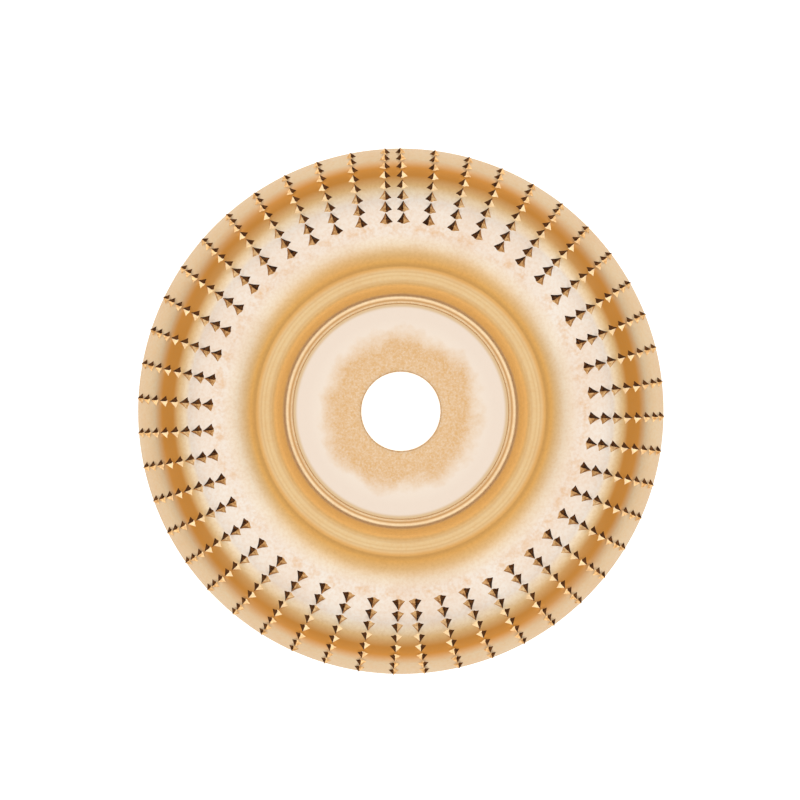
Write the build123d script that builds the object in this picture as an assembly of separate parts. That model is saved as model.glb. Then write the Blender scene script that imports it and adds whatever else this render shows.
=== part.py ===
from build123d import *
import math
import os

# Angle grinder carving disc: a pressed steel shell with an arched working zone, a washer plate that
# stiffens its centre, and rows of small three-sided teeth that stand on the arch.
# Millimetres. +Z is the spindle axis and points to the working side. The origin is at the centre of
# the bore, on the back of the hub, where the grinder's inner flange seats.

# ---- driving dimensions --------------------------------------------------------------------------
bore_diameter = 16.0          # spindle collar of a 100 mm class grinder
disc_diameter = 107.0         # over the trimmed rim, before its edges are broken
sheet = 1.6                   # thickness of the pressed shell

outer_arc_radius = 16.8       # working arc, from the crest to the rim
rim_slope = 67.3              # slope of the working arc at the rim
rim_edge_radius = 0.3         # broken edges of the trimmed rim
inner_arc_radius = 15.0       # inner slope of the arch
inner_slope = 34.5            # steepest slope inside the crest
ledge_radius = 1.6            # inside bend from ledge to inner slope
ledge_width = 3.0             # between the corners of the ledge
shoulder_radius = 2.2         # outside bend from wall to ledge
wall_rise = 3.8               # hub floor to ledge
wall_angle = 60.0             # wall against the floor
foot_radius = 0.8             # inside bend at the foot of the wall

plate_thickness = 1.4         # washer plate on the hub floor
plate_clearance = 1.04        # floor left free between the plate and the foot bend
plate_edge_radius = 0.35      # rolled edge on the working side of the plate
bore_chamfer = 0.35           # lead-in of the bore, on the working side

rows_per_half = 24            # tooth rows on each side of the YZ plane
top_pair_gap = 0.92           # between the innermost teeth of the two rows next to +Y
bottom_pair_gap = 0.79        # between the innermost teeth of the two rows next to -Y
row_lean = 0.9                # how far a row leans towards +Y at its outer end, round the disc
teeth_per_row = 8
first_tooth_arc = 0.85        # crest to the first tooth, along the arch
last_tooth_arc = 1.73         # last tooth to the rim, along the arch
tooth_width = 2.6             # across the row
tooth_nose = 1.1              # from the tip to the outer corner, along the row
tooth_heel = 0.75             # from the tip to the inner edge, along the row
tooth_height = 1.1
outer_tooth_size = 0.8        # size of the tooth next to the rim against the one next to the crest
tooth_root = 0.35             # depth that a tooth is made into the sheet before it is trimmed to it

# ---- derived places, from the rim inwards --------------------------------------------------------
bore_radius = bore_diameter / 2
rim_radius = disc_diameter / 2
crest_radius = rim_radius - outer_arc_radius * math.sin(math.radians(rim_slope))
ledge_end = crest_radius - (inner_arc_radius + ledge_radius) * math.sin(math.radians(inner_slope))
head = ledge_end - ledge_width
foot = head - wall_rise / math.tan(math.radians(wall_angle))
foot_setback = foot_radius * math.tan(math.radians(wall_angle / 2))
shoulder_setback = shoulder_radius * math.tan(math.radians(wall_angle / 2))
plate_radius = foot - foot_setback - plate_clearance

floor_z = sheet                                  # working face of the hub floor
ledge_z = floor_z + wall_rise
crest_z = ledge_z + (inner_arc_radius + ledge_radius) * (1 - math.cos(math.radians(inner_slope)))
arc_centre_z = crest_z - outer_arc_radius
rim_z = arc_centre_z + outer_arc_radius * math.cos(math.radians(rim_slope))

arch_length = math.radians(rim_slope) * outer_arc_radius
tooth_pitch = (arch_length - first_tooth_arc - last_tooth_arc) / (teeth_per_row - 1)
inmost_tooth_radius = crest_radius + outer_arc_radius * math.sin(first_tooth_arc / outer_arc_radius)
first_row_angle = math.degrees(math.asin((tooth_width + top_pair_gap) / 2 / inmost_tooth_radius))
last_row_angle = 180 - math.degrees(math.asin((tooth_width + bottom_pair_gap) / 2 / inmost_tooth_radius))
row_pitch = (last_row_angle - first_row_angle) / (rows_per_half - 1)


def bend(start, radius, turn):
    """A press bend that goes on from the end of the line before it. A turn to the left is positive."""
    return JernArc(start @ 1, start % 1, radius, turn)


def run(start, length):
    """A straight stretch that goes on from the end of the line before it."""
    return Line(start @ 1, start @ 1 + (start % 1) * length)


def shell_outline():
    """The working face of the shell in section, from the bore to just past the rim."""
    wall_length = math.hypot(head - foot, wall_rise)
    overrun = math.degrees(sheet / outer_arc_radius)

    floor = Line((bore_radius, floor_z), (foot - foot_setback, floor_z))
    foot_bend = bend(floor, foot_radius, wall_angle)
    wall = run(foot_bend, wall_length - foot_setback - shoulder_setback)
    shoulder = bend(wall, shoulder_radius, -wall_angle)
    ledge = run(shoulder, ledge_end - head - shoulder_setback)
    ledge_bend = bend(ledge, ledge_radius, inner_slope)
    inner_arc = bend(ledge_bend, inner_arc_radius, -inner_slope)
    working_arc = bend(inner_arc, outer_arc_radius, -(rim_slope + overrun))
    return [floor, foot_bend, wall, shoulder, ledge, ledge_bend, inner_arc, working_arc]


def cutting_shell():
    """The pressed shell: one sheet of even thickness, trimmed level at the rim."""
    working_face = Wire(shell_outline())
    section = make_face(offset(working_face, sheet, side=Side.RIGHT, closed=True))
    above_rim = Pos(0, rim_z) * Rectangle(disc_diameter, disc_diameter, align=(Align.MIN, Align.MIN))
    section = section & above_rim
    rim_corners = section.vertices().group_by(Axis.Y)[0]
    section = fillet(rim_corners, rim_edge_radius)
    return revolve(Plane.XZ * section, Axis.Z)


def hub_plate():
    """The washer plate that lies on the hub floor and shares the shell's bore."""
    width = plate_radius - bore_radius
    corner = Pos(bore_radius, floor_z)
    section = corner * Rectangle(width, plate_thickness, align=(Align.MIN, Align.MIN))
    section = chamfer(section.vertices().sort_by(Axis.Y)[2:].sort_by(Axis.X)[0], bore_chamfer)
    outer_top = section.vertices().group_by(Axis.X)[-1].sort_by(Axis.Y)[-1]
    section = fillet(outer_top, plate_edge_radius)
    return revolve(Plane.XZ * section, Axis.Z)


def blank_tooth():
    """A three-sided tooth with its tip over the origin and its nose towards +X, before it is trimmed.

    Its faces run on below the sheet's face, down to the root.
    """
    spread = (tooth_height + tooth_root) / tooth_height
    nose = (tooth_nose * spread, 0)
    left_heel = (-tooth_heel * spread, tooth_width / 2 * spread)
    right_heel = (-tooth_heel * spread, -tooth_width / 2 * spread)
    footprint = Pos(0, 0, -tooth_root) * make_face(Polyline(nose, left_heel, right_heel, close=True))
    return loft([footprint.face(), Vertex(0, 0, tooth_height)], ruled=True)


def tooth_on_arch(number, shell):
    """One tooth of the row along +X, standing square on the working arc and trimmed to the sheet."""
    angle = math.degrees((first_tooth_arc + number * tooth_pitch) / outer_arc_radius)
    seat = Pos(crest_radius, 0, arc_centre_z) * Rot(0, angle, 0) * Pos(0, 0, outer_arc_radius)
    size = 1 - (1 - outer_tooth_size) * number / (teeth_per_row - 1)
    return (seat * scale(blank_tooth(), size) - shell).solid()


def tooth_row(teeth, angle_from_y, side):
    """A row of teeth turned from +X to its place round the disc. Side is 1 for left and -1 for right."""
    lean_step = row_lean / (teeth_per_row - 1)
    angles = [angle_from_y - number * lean_step for number in range(teeth_per_row)]
    return Compound(children=[Rot(0, 0, 90 + side * angle) * tooth for angle, tooth in zip(angles, teeth)])


def save(part, name):
    """Writes one named node."""
    part.label = name
    export_step(part, f"parts/{name}.step")


os.makedirs("parts", exist_ok=True)
shell = cutting_shell()
save(shell, "cutting_shell")
save(hub_plate(), "hub_plate")

teeth = [tooth_on_arch(number, shell) for number in range(teeth_per_row)]
for number in range(rows_per_half):
    angle = first_row_angle + number * row_pitch
    save(tooth_row(teeth, angle, 1), f"tooth_row_left_{number + 1:02d}")
    save(tooth_row(teeth, angle, -1), f"tooth_row_right_{number + 1:02d}")

print(f"rim z {rim_z:.2f}  ledge z {ledge_z:.2f}  crest z {crest_z:.2f}  crest radius {crest_radius:.2f}")
print(f"ledge end {ledge_end:.2f}  foot {foot:.2f}  plate radius {plate_radius:.2f}")
print(f"tooth pitch {tooth_pitch:.3f}  rows from {first_row_angle:.2f} to {last_row_angle:.2f} deg")
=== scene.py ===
# %% [markdown]
# # An angle grinder carving disc
# The real thing is one steel sheet pressed into an arched ring with a sunk hub, a washer plate in the
# hub, and small three-sided teeth raised in rows on the arch. This lesson loads the CAD frame, draws
# the sheet's section and spins it, sculpts the dents that the tooth punch leaves, builds one tooth,
# copies it along every row, and then gives each surface its finish, with painted reflections, shade
# and highlights in the colours of the shell and the teeth.

# %% Load the frame
import math

import bmesh
import bpy
from mathutils import Matrix, Vector, kdtree


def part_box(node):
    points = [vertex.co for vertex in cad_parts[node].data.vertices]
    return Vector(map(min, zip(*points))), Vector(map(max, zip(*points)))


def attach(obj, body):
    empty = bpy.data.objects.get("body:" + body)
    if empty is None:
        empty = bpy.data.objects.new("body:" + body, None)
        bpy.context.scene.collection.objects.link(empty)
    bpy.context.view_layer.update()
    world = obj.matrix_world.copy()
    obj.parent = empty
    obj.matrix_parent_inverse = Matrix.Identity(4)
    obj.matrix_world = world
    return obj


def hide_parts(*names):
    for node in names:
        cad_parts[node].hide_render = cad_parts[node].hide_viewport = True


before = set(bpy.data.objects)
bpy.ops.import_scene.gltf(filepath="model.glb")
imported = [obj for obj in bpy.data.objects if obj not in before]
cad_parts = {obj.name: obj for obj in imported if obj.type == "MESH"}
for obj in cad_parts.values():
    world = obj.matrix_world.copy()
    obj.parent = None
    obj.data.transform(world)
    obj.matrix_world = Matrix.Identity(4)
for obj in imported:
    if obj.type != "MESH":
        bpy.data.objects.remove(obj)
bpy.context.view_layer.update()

mm = 0.001

# %% [markdown]
# ## Sizes
# The frame gives the crest, the rim and the plate, from the boxes of the CAD nodes. The plate lies on
# the hub floor, and the hub's underside is at zero, so the plate's underside tells the sheet's
# thickness. The bore and the bends of the pressing aren't in a box, so their sizes are repeated here.

# %% Sizes of the pressing
shell_low, shell_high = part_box("cutting_shell")
plate_low, plate_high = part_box("hub_plate")

bore_radius = 8.0 * mm
sheet = plate_low.z
plate_radius = plate_high.x
plate_top = plate_high.z
crest_z = shell_high.z
rim_z = shell_low.z
rim_radius = shell_high.x

foot = 23.4 * mm
wall_rise = 3.8 * mm
wall_angle = math.radians(60)
wall_head = foot + wall_rise / math.tan(wall_angle)
ledge_end = 28.6 * mm
crest_radius = 38.0 * mm
foot_bend = 0.8 * mm
shoulder_bend = 2.2 * mm
ledge_bend = 1.6 * mm
inner_arc = 15.0 * mm
outer_arc = 16.8 * mm
slope_angle = math.asin((crest_radius - ledge_end) / (inner_arc + ledge_bend))
print("crest", round(crest_z / mm, 2), "rim", round(rim_z / mm, 2), "plate top", round(plate_top / mm, 2))

# %% [markdown]
# ## Drawing a section
# A press tool makes a sheet of straight runs and round bends. Two small helpers draw it the same way
# with bmesh operators: a run extrudes the last vertex, and a bend spins it about the bend's centre.

# %% A pen for sheet metal sections
def start_pen(bm, x, z):
    """A first vertex, heading outwards along +X."""
    return {"bm": bm, "tip": bm.verts.new((x, 0, z)), "heading": 0.0}


def run(pen, length, steps=1):
    """A straight stretch in the pen's heading."""
    for _ in range(steps):
        made = bmesh.ops.extrude_vert_indiv(pen["bm"], verts=[pen["tip"]])
        step = length / steps
        along = Vector((math.cos(pen["heading"]), 0, math.sin(pen["heading"]))) * step
        bmesh.ops.translate(pen["bm"], verts=made["verts"], vec=along)
        pen["tip"] = made["verts"][0]


def bend(pen, radius, turn, steps):
    """A round bend. A positive turn lifts the sheet, a negative turn lowers it."""
    side = 1 if turn > 0 else -1
    normal = Vector((-math.sin(pen["heading"]), 0, math.cos(pen["heading"])))
    centre = pen["tip"].co + normal * radius * side
    made = bmesh.ops.spin(pen["bm"], geom=[pen["tip"]], cent=centre, axis=(0, -1, 0), angle=turn,
                          steps=steps, use_duplicate=False, use_merge=False, dvec=(0, 0, 0))
    pen["tip"] = [v for v in made["geom_last"] if isinstance(v, bmesh.types.BMVert)][0]
    pen["heading"] += turn


# %% [markdown]
# ## The cutting shell
# The sheet has an even thickness, so its back is the same drawing with every bend's radius changed by
# the thickness. The two lines are joined at the bore and at the level, trimmed rim, and spun full circle.
# The steps on the arch are about 0.4 mm both ways, fine enough to sculpt the tooth dents later.

# %% Draw both faces of the sheet
def draw_face(bm, depth, fine):
    """The line at a depth below the working face, from the bore to the rim."""
    half = math.tan(wall_angle / 2)
    wall = math.hypot(wall_rise, wall_head - foot)
    centre_z = crest_z - outer_arc
    rim_turn = math.acos((rim_z - centre_z) / (outer_arc - depth))
    pen = start_pen(bm, bore_radius, sheet - depth)
    first = pen["tip"]
    run(pen, foot - foot_bend * half - bore_radius, 6)
    bend(pen, foot_bend + depth, wall_angle, 6)
    run(pen, wall - (foot_bend + shoulder_bend) * half, 3)
    bend(pen, shoulder_bend - depth, -wall_angle, 8)
    run(pen, ledge_end - wall_head - shoulder_bend * half, 2)
    bend(pen, ledge_bend + depth, slope_angle, 5)
    bend(pen, inner_arc - depth, -slope_angle, 12 if fine else 8)
    bend(pen, outer_arc - depth, -rim_turn, 54 if fine else 16)
    return first, pen["tip"]


def full_spin(bm, steps):
    """Spins everything in bm once round Z and closes it."""
    geom = bm.verts[:] + bm.edges[:]
    bmesh.ops.spin(bm, geom=geom, cent=(0, 0, 0), axis=(0, 0, 1), angle=math.tau, steps=steps,
                   use_merge=True, use_duplicate=False, dvec=(0, 0, 0))
    bmesh.ops.remove_doubles(bm, verts=bm.verts, dist=0.001 * mm)
    bmesh.ops.recalc_face_normals(bm, faces=bm.faces)


def piece_from(bm, name, smooth=True):
    """A finished piece from bm, riding on the disc's only body."""
    mesh = bpy.data.meshes.new(name)
    bm.to_mesh(mesh)
    bm.free()
    for face in mesh.polygons:
        face.use_smooth = smooth
    piece = bpy.data.objects.new(name, mesh)
    bpy.context.scene.collection.objects.link(piece)
    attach(piece, "root")
    print(name, len(mesh.vertices), "vertices", len(mesh.polygons), "faces")
    return piece


shell_bm = bmesh.new()
face_start, face_end = draw_face(shell_bm, 0, True)
back_start, back_end = draw_face(shell_bm, sheet, False)
shell_bm.edges.new((face_start, back_start))
shell_bm.edges.new((face_end, back_end))
bmesh.ops.bevel(shell_bm, geom=[face_end, back_end], affect="VERTICES", offset=0.28 * mm, segments=3,
                profile=0.5, material=-1)
full_spin(shell_bm, 720)

# %% [markdown]
# ## Where the teeth stand
# Each half of the disc has its own rows, mirrored across the YZ plane. A tooth's seat is a matrix: X
# runs out along the row, Z stands square on the arch. The same matrices place the dents and the teeth.

# %% Seats along a row and round the disc
rows_per_half = 24
first_row, last_row = math.radians(2.60), math.radians(177.50)
row_lean = math.radians(0.9)
teeth_per_row = 8
first_tooth, tooth_pitch = 0.85 * mm, 2.45 * mm


def seat(row, number, side):
    """The frame of one tooth. side is 1 for the left half and -1 for the right half."""
    round_disc = first_row + row * (last_row - first_row) / (rows_per_half - 1)
    round_disc -= number * row_lean / (teeth_per_row - 1)
    turn = math.pi / 2 + side * round_disc
    slope = (first_tooth + number * tooth_pitch) / outer_arc
    centre = Matrix.Translation((crest_radius, 0, crest_z - outer_arc))
    return (Matrix.Rotation(turn, 4, "Z") @ centre @ Matrix.Rotation(slope, 4, "Y")
            @ Matrix.Translation((0, 0, outer_arc)))


halves = {"left": 1, "right": -1}
seats = {(half, row, number): seat(row, number, side)
         for half, side in halves.items() for row in range(rows_per_half) for number in range(teeth_per_row)}
print(len(seats), "teeth")

# %% [markdown]
# ## The dents of the tooth punch
# The punch that lifts a tooth drags the sheet down behind its heel and leaves a soft swelling round the
# root. Both are sculpted into the spun sheet: the working face's vertices near a seat move along its Z.

# %% Sculpt the roots
def smooth_hill(distance, reach):
    """1 at the middle, falling smoothly to 0 at the reach."""
    share = max(0.0, 1 - (distance / reach) ** 2)
    return share * share


tree = kdtree.KDTree(len(shell_bm.verts))
shell_bm.verts.ensure_lookup_table()
for vertex in shell_bm.verts:
    tree.insert(vertex.co, vertex.index)
tree.balance()
reach = 2.6 * mm
pit_reach, pit_depth, pit_place = 1.0 * mm, 0.10 * mm, Vector((-1.25 * mm, 0, 0))
swell_reach, swell_height = 1.5 * mm, 0.06 * mm
moves = {}
for place in seats.values():
    up = place.to_3x3() @ Vector((0, 0, 1))
    inverse = place.inverted()
    for spot, index, _ in tree.find_range(place.translation, reach):
        local = inverse @ spot
        if local.z < -sheet / 2:
            continue
        flat = Vector((local.x, local.y, 0))
        pit = smooth_hill((flat - pit_place).length, pit_reach) * pit_depth
        swell = smooth_hill(flat.length, swell_reach) * swell_height
        moves[index] = moves.get(index, Vector()) + up * (swell - pit)
for index, move in moves.items():
    shell_bm.verts[index].co += move
print(len(moves), "vertices sculpted")
shell = piece_from(shell_bm, "pressed_shell")
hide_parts("cutting_shell")

# %% [markdown]
# ## The washer plate
# A flat ring blanked from thin plate. Its section is four corners; the working side's corners are
# rounded or chamfered by a vertex bevel, and the ring is spun from it.

# %% Spin the plate
plate_bm = bmesh.new()
pen = start_pen(plate_bm, bore_radius, plate_low.z)
corner_low_in = pen["tip"]
run(pen, plate_radius - bore_radius, 8)
pen["heading"] = math.pi / 2
run(pen, plate_top - plate_low.z)
corner_out = pen["tip"]
pen["heading"] = math.pi
run(pen, plate_radius - bore_radius, 8)
corner_in = pen["tip"]
plate_bm.edges.new((corner_in, corner_low_in))
for corner, segments in ((corner_out, 4), (corner_in, 2)):
    bmesh.ops.bevel(plate_bm, geom=[corner], affect="VERTICES", offset=0.35 * mm, segments=segments,
                    profile=0.5, material=-1)
full_spin(plate_bm, 256)
plate = piece_from(plate_bm, "washer_plate")
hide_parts("hub_plate")

# %% [markdown]
# ## One tooth
# A punched tooth is a small pyramid: its nose points out along the row, and its heel faces the hub. It
# starts as a three-sided cone with its corners moved into place. The heel's bottom edge is cut in three
# and its middle pushed back, because a punch leaves the heel round. Poking each side gives the heel its
# ridge and the flanks their slight hollow, and a bevel dulls the ridges.

# %% Shape the tooth
tooth_width, tooth_nose, tooth_heel = 2.6 * mm, 1.1 * mm, 0.75 * mm
tooth_height, tooth_root = 1.1 * mm, 0.35 * mm
flank_hollow = 0.02 * mm
heel_ridge = 0.12 * mm
heel_bulge = 0.38 * mm
heel_slant = -0.3
ridge_bevel = 0.05 * mm
SHADED_FLANK, BACK_FLANK, HEEL_FACE, SHADED_HEEL = 0, 1, 2, 3


def tooth_mesh(side):
    """One tooth at the origin. The cut flank, which is coloured with painted shade, is the one that will
    face 12 o'clock round the rim.
    """
    bm = bmesh.new()
    spread = (tooth_height + tooth_root) / tooth_height
    bmesh.ops.create_cone(bm, cap_ends=True, segments=3, radius1=1, radius2=0, depth=1)
    bmesh.ops.remove_doubles(bm, verts=bm.verts, dist=1e-4)
    corners = sorted(bm.verts, key=lambda v: v.co.z)
    tip, base = corners[-1], corners[:-1]
    base.sort(key=lambda v: math.atan2(v.co.y, v.co.x) % math.tau)
    tip.co = (0, 0, tooth_height)
    places = [(tooth_nose, 0), (-tooth_heel, tooth_width / 2), (-tooth_heel, -tooth_width / 2)]
    for corner, (x, y) in zip(base, places):
        corner.co = (x * spread, y * spread, -tooth_root)
    heel_edge = [edge for edge in bm.edges if all(v.co.x < 0 and v.co.z < 0 for v in edge.verts)]
    bmesh.ops.subdivide_edges(bm, edges=heel_edge, cuts=2)
    for vert in bm.verts:
        if vert.co.x < 0 and abs(vert.co.y) < tooth_width / 3:
            vert.co.x -= heel_bulge
    bmesh.ops.recalc_face_normals(bm, faces=bm.faces)
    # Cutting the edge renews the vertices, so the tip is looked up again.
    tip = max(bm.verts, key=lambda v: v.co.z)
    flanks = [face for face in bm.faces if tip in face.verts]
    ridges = [edge for edge in bm.edges if tip in edge.verts]
    poked = bmesh.ops.poke(bm, faces=flanks)
    for middle in poked["verts"]:
        at_heel = middle.normal.x < heel_slant
        middle.co += middle.normal * (heel_ridge if at_heel else -flank_hollow)
    for face in poked["faces"]:
        on_shaded_side = face.calc_center_median().y * side < -0.01 * tooth_width
        on_heel = face.normal.x < heel_slant
        if on_shaded_side:
            face.material_index = SHADED_HEEL if on_heel else SHADED_FLANK
        else:
            face.material_index = HEEL_FACE if on_heel else BACK_FLANK
    bmesh.ops.bevel(bm, geom=ridges, affect="EDGES", offset=ridge_bevel, segments=1, profile=0.5,
                    material=-1)
    bmesh.ops.recalc_face_normals(bm, faces=bm.faces)
    mesh = bpy.data.meshes.new("tooth")
    bm.to_mesh(mesh)
    bm.free()
    return mesh


tooth_meshes = {half: tooth_mesh(side) for half, side in halves.items()}
print("one tooth", len(tooth_meshes["left"].polygons), "faces")

# %% [markdown]
# ## The rows
# Each row is one piece, made of eight copies of the tooth that the seats put in place, so that it can
# stand for its CAD node.

# %% Copy the teeth along the rows
outer_tooth_size = 0.8
tooth_rows = []
for half in halves:
    for row in range(rows_per_half):
        row_bm = bmesh.new()
        for number in range(teeth_per_row):
            before = len(row_bm.verts)
            row_bm.from_mesh(tooth_meshes[half])
            row_bm.verts.ensure_lookup_table()
            size = Matrix.Scale(1 - (1 - outer_tooth_size) * number / (teeth_per_row - 1), 4)
            bmesh.ops.transform(row_bm, matrix=seats[half, row, number] @ size, verts=row_bm.verts[before:])
        piece = piece_from(row_bm, f"teeth_{half}_{row + 1:02d}", smooth=False)
        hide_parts(f"tooth_row_{half}_{row + 1:02d}")
        tooth_rows.append(piece)

# %% [markdown]
# ## Helpers for the finishes
# Colours are written as sRGB hex and turned to linear by one function. The others start a material, add
# a node with its links, and make a colour ramp.

# %% Colour and node helpers
def linear(hex_colour, alpha=1.0):
    """An sRGB hex colour as linear RGBA."""
    channels = [int(hex_colour[i:i + 2], 16) / 255 for i in (1, 3, 5)]
    return [c / 12.92 if c <= 0.04045 else ((c + 0.055) / 1.055) ** 2.4 for c in channels] + [alpha]


def add(tree, kind, inputs=None, **settings):
    """Adds a node, sets its settings, and gives each input a value or a link from a socket."""
    node = tree.nodes.new("ShaderNode" + kind)
    for name, value in settings.items():
        setattr(node, name, value)
    for name, value in (inputs or {}).items():
        if isinstance(value, bpy.types.NodeSocket):
            tree.links.new(value, node.inputs[name])
        else:
            node.inputs[name].default_value = value
    return node


def new_material(name):
    """An empty node material and its output node."""
    material = bpy.data.materials.new(name)
    material.use_nodes = True
    material.node_tree.nodes.clear()
    return material, material.node_tree


def grey(level):
    """A linear grey, for masks."""
    return [level, level, level, 1.0]


def ramp(tree, factor, stops):
    """A ramp over 0 to 1 from (place, linear colour) stops."""
    node = add(tree, "ValToRGB", {"Fac": factor})
    elements = node.color_ramp.elements
    while len(elements) < len(stops):
        elements.new(0.5)
    for element, (place, colour) in zip(elements, stops):
        element.position = place
        element.color = colour
    return node.outputs["Color"]


# %% [markdown]
# ## A palette of painted reflections for the coat
# The sheet is satin steel under a thin gold-coloured coat. Where the sheet lies level its colour is painted
# a pale cream, and on its slopes it is painted straw and amber: painted reflections of darker surroundings
# that the slopes would mirror. So a few named colours are enough, and each is placed by the steepness of
# the arcs or by a corner of the section. The brown just past the washer plate is a painted shadow in the
# gap between the plate and the wall.

# %% Colours of the coat's painted reflections and places on the section
cream, pale_sand, warm_cream = "#d4cabe", "#d8c8b0", "#e8d4b4"
sand, straw, tan = "#dec6a0", "#e0ba84", "#cab084"
gold, amber, deep_amber, brown, rim_sand = "#f0b868", "#c89a5c", "#c8863a", "#a87c4c", "#bea888"


def on_inner_arc(degrees):
    """How far from the axis the inner slope is this steep."""
    return crest_radius - inner_arc * math.sin(math.radians(degrees))


def on_outer_arc(degrees):
    """How far from the axis the arch is this steep."""
    return crest_radius + outer_arc * math.sin(math.radians(degrees))


def painted_reflection_stops(slope_pales, warms, deep_from, deep_to, rim_pales):
    """The coat's colour from the bore to the rim, mostly painted reflection by steepness, with a painted
    shadow in the gap past the plate. Each argument is the steepness where the colour changes.
    """
    return [
        # The brown just past the plate's edge is a painted shadow in the gap; the stops from the wall
        # outwards are painted reflections by steepness.
        (bore_radius, sand), (plate_radius + 0.2 * mm, sand), (plate_radius + 0.6 * mm, brown),
        (plate_radius + 1.0 * mm, sand), (foot, sand), (foot + 0.6 * mm, gold), (wall_head - 0.2 * mm, gold),
        (wall_head + 0.8 * mm, tan), (ledge_end - 0.3 * mm, tan), (ledge_end + 0.4 * mm, amber),
        (on_inner_arc(31), gold), (on_inner_arc(slope_pales + 8), straw),
        (on_inner_arc(slope_pales), pale_sand),
        (on_inner_arc(8), cream), (on_outer_arc(16), cream), (on_outer_arc(warms - 5), warm_cream),
        (on_outer_arc(warms), straw), (on_outer_arc(deep_from), deep_amber),
        (on_outer_arc(deep_to), deep_amber),
        (on_outer_arc(rim_pales), rim_sand), (rim_radius, rim_sand),
    ]


# %% [markdown]
# ## Reading a place in a shader
# The finishes need the distance from the axis. One helper measures it, and two more turn it into a
# colour or into a mask along the radius. The others do sums, blend colours and stretch noise.

# %% Helpers along the radius
def radius_of(tree, place):
    """Distance from the Z axis, in metres."""
    flat = add(tree, "VectorMath", {0: place, 1: (1, 1, 0)}, operation="MULTIPLY")
    return add(tree, "VectorMath", {0: flat.outputs[0]}, operation="LENGTH").outputs["Value"]


def math_node(tree, operation, first, second):
    """One arithmetic step."""
    return add(tree, "Math", {0: first, 1: second}, operation=operation).outputs[0]


def colour_by_radius(tree, radius, stops):
    """A colour that follows the radius, from (metres, hex colour) stops."""
    share = math_node(tree, "DIVIDE", radius, rim_radius)
    return ramp(tree, share, [(place / rim_radius, linear(colour)) for place, colour in stops])


def mask_by_radius(tree, radius, stops):
    """A level that follows the radius, from (metres, level) stops."""
    share = math_node(tree, "DIVIDE", radius, rim_radius)
    return ramp(tree, share, [(place / rim_radius, grey(level)) for place, level in stops])


def mix(tree, factor, first, second):
    """Blends two colours. The second may be a hex colour."""
    second = linear(second) if isinstance(second, str) else second
    return add(tree, "Mix", {"Factor": factor, 6: first, 7: second}, data_type="RGBA",
               blend_type="MIX").outputs[2]


def noise(tree, vector, feature, detail, low, high, levels):
    """Noise whose features are about as wide as feature, stretched from low..high to levels."""
    source = add(tree, "TexNoise", {"Vector": vector, "Scale": 1 / feature, "Detail": detail,
                                    "Roughness": 0.6})
    return add(tree, "MapRange", {"Value": source.outputs["Fac"], "From Min": low, "From Max": high,
                                  "To Min": levels[0], "To Max": levels[1]}).outputs[0]


# %% [markdown]
# ## Pressed steel with a gold coat and painted reflections
# The amber of the arch's shoulder is painted reflection. It has a crisp edge on the two sides of the disc
# and a soft one at the top and bottom, so two painted reflection ramps are blended by direction. Broad
# blotches, a mottled brown ring just inside the teeth and a fine speckle break the colour up. On the
# recess wall the coat has run and lies thick, so less bare metal shows there. The lathe's lines show most
# on the ledge. The real lines are finer than the render shows, so they are drawn 0.7 mm apart.

# %% The shell's colour
blotch_gold, inner_ring_brown, speckle_brown = "#d79b58", "#c8965a", "#bf8a4a"


def shell_colour_and_painted_reflections(tree, place, radius):
    # Painted reflections: one ramp for the top and bottom of the disc, one for its sides, blended by
    # direction.
    top_bottom_reflections = colour_by_radius(tree, radius, painted_reflection_stops(16, 27, 35, 42, 51))
    side_reflections = colour_by_radius(tree, radius, painted_reflection_stops(19, 24, 28, 37, 44))
    across = add(tree, "SeparateXYZ", {"Vector": place}).outputs["X"]
    sideways = math_node(tree, "DIVIDE", across, radius)
    squared = math_node(tree, "MULTIPLY", sideways, sideways)
    side_reflection_share = add(tree, "MapRange", {"Value": squared, "From Min": 0.2, "From Max": 0.8, "To Min": 0.0,
                                           "To Max": 1.0}).outputs[0]
    colour = mix(tree, side_reflection_share, top_bottom_reflections, side_reflections)
    colour = mix(tree, noise(tree, place, 11 * mm, 4.0, 0.3, 0.7, (0.0, 0.16)), colour, blotch_gold)
    # A mottled brown ring just inside the innermost teeth.
    around_teeth = mask_by_radius(tree, radius, [(crest_radius - 3.2 * mm, 0), (crest_radius - 1.6 * mm, 1),
                                                 (crest_radius - 0.8 * mm, 1), (crest_radius + 0.4 * mm, 0)])
    ring_mottle = noise(tree, place, 2.4 * mm, 3.0, 0.45, 0.7, (0.0, 0.5))
    colour = mix(tree, math_node(tree, "MULTIPLY", around_teeth, ring_mottle), colour, inner_ring_brown)
    on_ledge = mask_by_radius(tree, radius, [(wall_head + 0.2 * mm, 0), (wall_head + 0.8 * mm, 1),
                                             (ledge_end, 1), (ledge_end + 0.6 * mm, 0)])
    outwards = add(tree, "CombineXYZ", {"X": radius, "Y": 0.0, "Z": 0.0}).outputs[0]
    lathe_lines = noise(tree, outwards, 0.7 * mm, 1.0, 0.4, 0.6, (0.0, 0.35))
    colour = mix(tree, math_node(tree, "MULTIPLY", on_ledge, lathe_lines), colour, brown)
    return mix(tree, noise(tree, place, 0.6 * mm, 3.0, 0.4, 0.7, (0.0, 0.22)), colour, speckle_brown)


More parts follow.
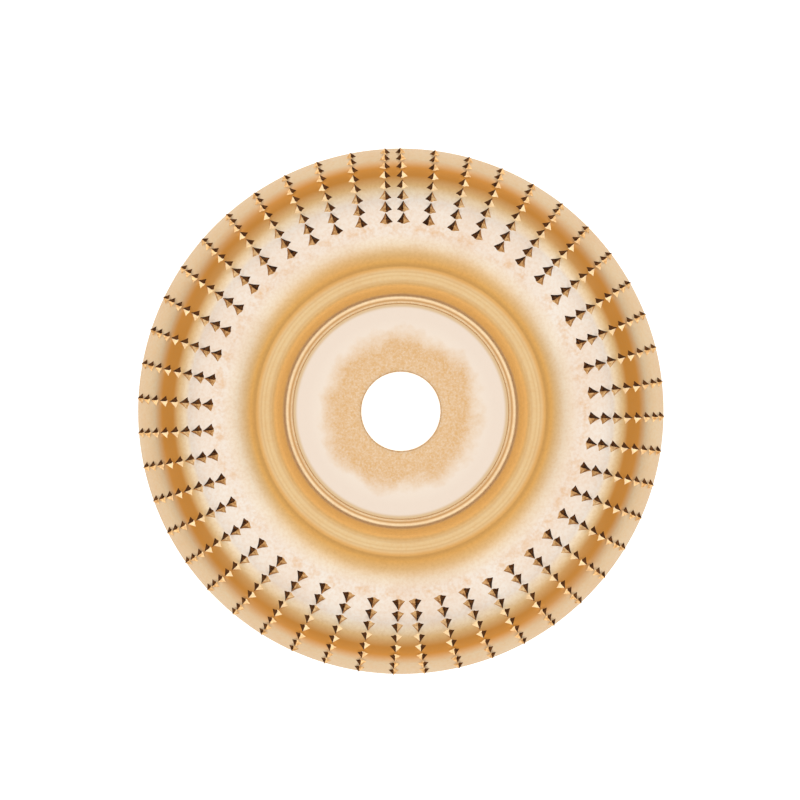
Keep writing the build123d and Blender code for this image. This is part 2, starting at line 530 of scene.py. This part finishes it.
# %% The shell's finish
def shell_finish():
    material, tree = new_material("pressed_steel_gold_coat_painted_reflections")
    place = add(tree, "TexCoord").outputs["Object"]
    radius = radius_of(tree, place)
    outwards = add(tree, "CombineXYZ", {"X": radius, "Y": 0.0, "Z": 0.0}).outputs[0]
    turned = noise(tree, outwards, 0.35 * mm, 2.0, 0.0, 1.0, (0.0, 1.0))
    grain = noise(tree, place, 0.4 * mm, 2.0, 0.0, 1.0, (0.0, 1.0))
    relief = math_node(tree, "ADD", turned, grain)
    bump = add(tree, "Bump", {"Height": relief, "Strength": 0.12, "Distance": 0.02 * mm})
    bare_metal = mask_by_radius(tree, radius, [(foot - 0.2 * mm, 1), (foot + 0.5 * mm, 0.03),
                                               (wall_head - 0.4 * mm, 0.03), (wall_head + 0.4 * mm, 1)])
    roughness = noise(tree, place, 11 * mm, 4.0, 0.3, 0.7, (0.32, 0.42))
    steel = add(tree, "BsdfPrincipled", {"Base Color": shell_colour_and_painted_reflections(tree, place, radius),
                                         "Metallic": bare_metal, "Roughness": roughness,
                                         "Normal": bump.outputs[0]})
    add(tree, "OutputMaterial", {"Surface": steel.outputs[0]})
    return material


shell.data.materials.append(shell_finish())

# %% [markdown]
# ## Blasted steel
# The washer plate was blasted with grit, so it scatters light instead of mirroring it. The coat has
# taken unevenly: a grainy tan cloud with a ragged edge lies round the bore, and the rest stays cream.

# %% The plate's finish
bore_cream, plate_cream, edge_tan, cloud_tan = "#e8dece", "#dccdbe", "#ccb088", "#cda166"
cloud_inner, cloud_outer = 13.5 * mm, 17.2 * mm


def plate_finish():
    material, tree = new_material("grit_blasted_steel_gold_coat")
    place = add(tree, "TexCoord").outputs["Object"]
    radius = radius_of(tree, place)
    bare = colour_by_radius(tree, radius, [(bore_radius, bore_cream), (plate_radius - 3 * mm, plate_cream),
                                           (plate_radius - 1 * mm, plate_cream),
                                           (plate_radius - 0.5 * mm, edge_tan), (plate_radius, sand)])
    wander = noise(tree, place, 4.5 * mm, 4.0, 0.25, 0.75, (-1.6 * mm, 1.6 * mm))
    ragged = math_node(tree, "ADD", radius, wander)
    cloud = mask_by_radius(tree, ragged, [(cloud_inner, 1), (cloud_outer, 0)])
    grains = noise(tree, place, 0.4 * mm, 3.0, 0.3, 0.7, (0.5, 0.95))
    colour = mix(tree, math_node(tree, "MULTIPLY", cloud, grains), bare, cloud_tan)
    grit = noise(tree, place, 0.4 * mm, 3.0, 0.0, 1.0, (0.0, 1.0))
    bump = add(tree, "Bump", {"Height": grit, "Strength": 0.5, "Distance": 0.05 * mm})
    steel = add(tree, "BsdfPrincipled", {"Base Color": colour, "Metallic": 1.0, "Roughness": 0.55,
                                         "Normal": bump.outputs[0]})
    add(tree, "OutputMaterial", {"Surface": steel.outputs[0]})
    return material


plate.data.materials.append(plate_finish())

# %% [markdown]
# ## Teeth in painted light and shade
# The punch shears one side of a tooth and only bends the other. The four facet groups are lit and shaded
# copies of one steel: the sheared flank is a near-black painted shade, its heel a brown painted shade, the
# bent flank a mid gold and the heel face a pale gold painted highlight. On the shoulder of the arch the
# bent side is painted paler still, a painted highlight.

# %% The teeth's finishes
def tooth_finish(name, pale, dark, shoulder_highlight, roughness, metallic):
    material, tree = new_material(name)
    place = add(tree, "TexCoord").outputs["Object"]
    streaks = add(tree, "TexNoise", {"Vector": place, "Scale": 1 / (0.55 * mm), "Detail": 2.0})
    streaks = streaks.outputs["Fac"]
    # Paler on the shoulder of the arch: a painted highlight.
    painted_highlight_mask = mask_by_radius(tree, radius_of(tree, place), [(on_outer_arc(14), 0), (on_outer_arc(26), 0.55),
                                                           (on_outer_arc(36), 0.55), (on_outer_arc(48), 0)])
    coat = ramp(tree, streaks, [(0.35, linear(dark)), (0.65, linear(pale))])
    tint = mix(tree, painted_highlight_mask, coat, shoulder_highlight)
    bump = add(tree, "Bump", {"Height": streaks, "Strength": 0.3, "Distance": 0.03 * mm})
    steel = add(tree, "BsdfPrincipled", {"Base Color": tint, "Metallic": metallic, "Roughness": roughness,
                                         "Specular IOR Level": 0.08, "Normal": bump.outputs[0]})
    add(tree, "OutputMaterial", {"Surface": steel.outputs[0]})
    return material


# Lit and shaded copies of one steel, one per facet group: painted shade on the sheared flank and its heel, a
# painted highlight on the heel face.
tooth_finishes = {
    SHADED_FLANK: tooth_finish("sheared_steel_painted_deep_shade", "#4a2a10", "#1c0c03", "#4a2a10", 0.6, 0.0),
    BACK_FLANK: tooth_finish("bent_steel_painted_mid_shade", "#dca566", "#96642f", "#deb27c", 0.4, 1.0),
    HEEL_FACE: tooth_finish("bent_steel_painted_highlight", "#f0c48a", "#bd8850", "#f6deb4", 0.35, 1.0),
    SHADED_HEEL: tooth_finish("torn_heel_painted_shade", "#6a401c", "#2c1607", "#4e2d12", 0.5, 0.3),
}
for piece in tooth_rows:
    for index in sorted(tooth_finishes):
        piece.data.materials.append(tooth_finishes[index])

# %% [markdown]
# ## Floor, light and camera
# The disc lies on a pale floor with its working side up, under a wide soft light overhead. The pale level
# surfaces and the deeper gold slopes are painted reflections in the coat's colour.

# %% Floor
floor_bm = bmesh.new()
bmesh.ops.create_grid(floor_bm, x_segments=1, y_segments=1, size=4.0)
bmesh.ops.translate(floor_bm, verts=floor_bm.verts, vec=(0, 0, rim_z - 0.02 * mm))
floor_mesh = bpy.data.meshes.new("floor")
floor_bm.to_mesh(floor_mesh)
floor_bm.free()
floor = bpy.data.objects.new("floor", floor_mesh)
bpy.context.scene.collection.objects.link(floor)
floor_glow = 0.58
floor_material, floor_tree = new_material("white_studio_paper")
paper = add(floor_tree, "BsdfPrincipled", {"Base Color": linear("#f4f4f4"), "Roughness": 0.9,
                                           "Emission Color": linear("#ffffff"),
                                           "Emission Strength": floor_glow})
add(floor_tree, "OutputMaterial", {"Surface": paper.outputs[0]})
floor.data.materials.append(floor_material)

# %% Lights
world = bpy.data.worlds.new("studio")
world.use_nodes = True
world.node_tree.nodes["Background"].inputs["Color"].default_value = (1, 1, 1, 1)
world.node_tree.nodes["Background"].inputs["Strength"].default_value = 0.85
bpy.context.scene.world = world
lamp = bpy.data.lights.new("overhead_softbox", "AREA")
lamp.shape = "SQUARE"
lamp.size = 2.6
softbox_brightness = 0.65
lamp.energy = softbox_brightness * math.pi * lamp.size ** 2
softbox = bpy.data.objects.new("overhead_softbox", lamp)
softbox_height = 1.6
softbox.location = (0, 0, softbox_height)
bpy.context.scene.collection.objects.link(softbox)

# %% Camera
camera_data = bpy.data.cameras.new("camera")
camera_data.lens = 200
camera = bpy.data.objects.new("camera", camera_data)
field = 162.6 * mm
aim_x, aim_y = -0.1 * mm, 2.3 * mm
roll = math.radians(-1.8)
camera.location = (aim_x, aim_y, field / 2 / math.tan(camera_data.angle / 2) + rim_z)
camera.rotation_euler = (0, 0, roll)
bpy.context.scene.collection.objects.link(camera)
bpy.context.scene.camera = camera
bpy.context.scene.view_settings.view_transform = "Standard"
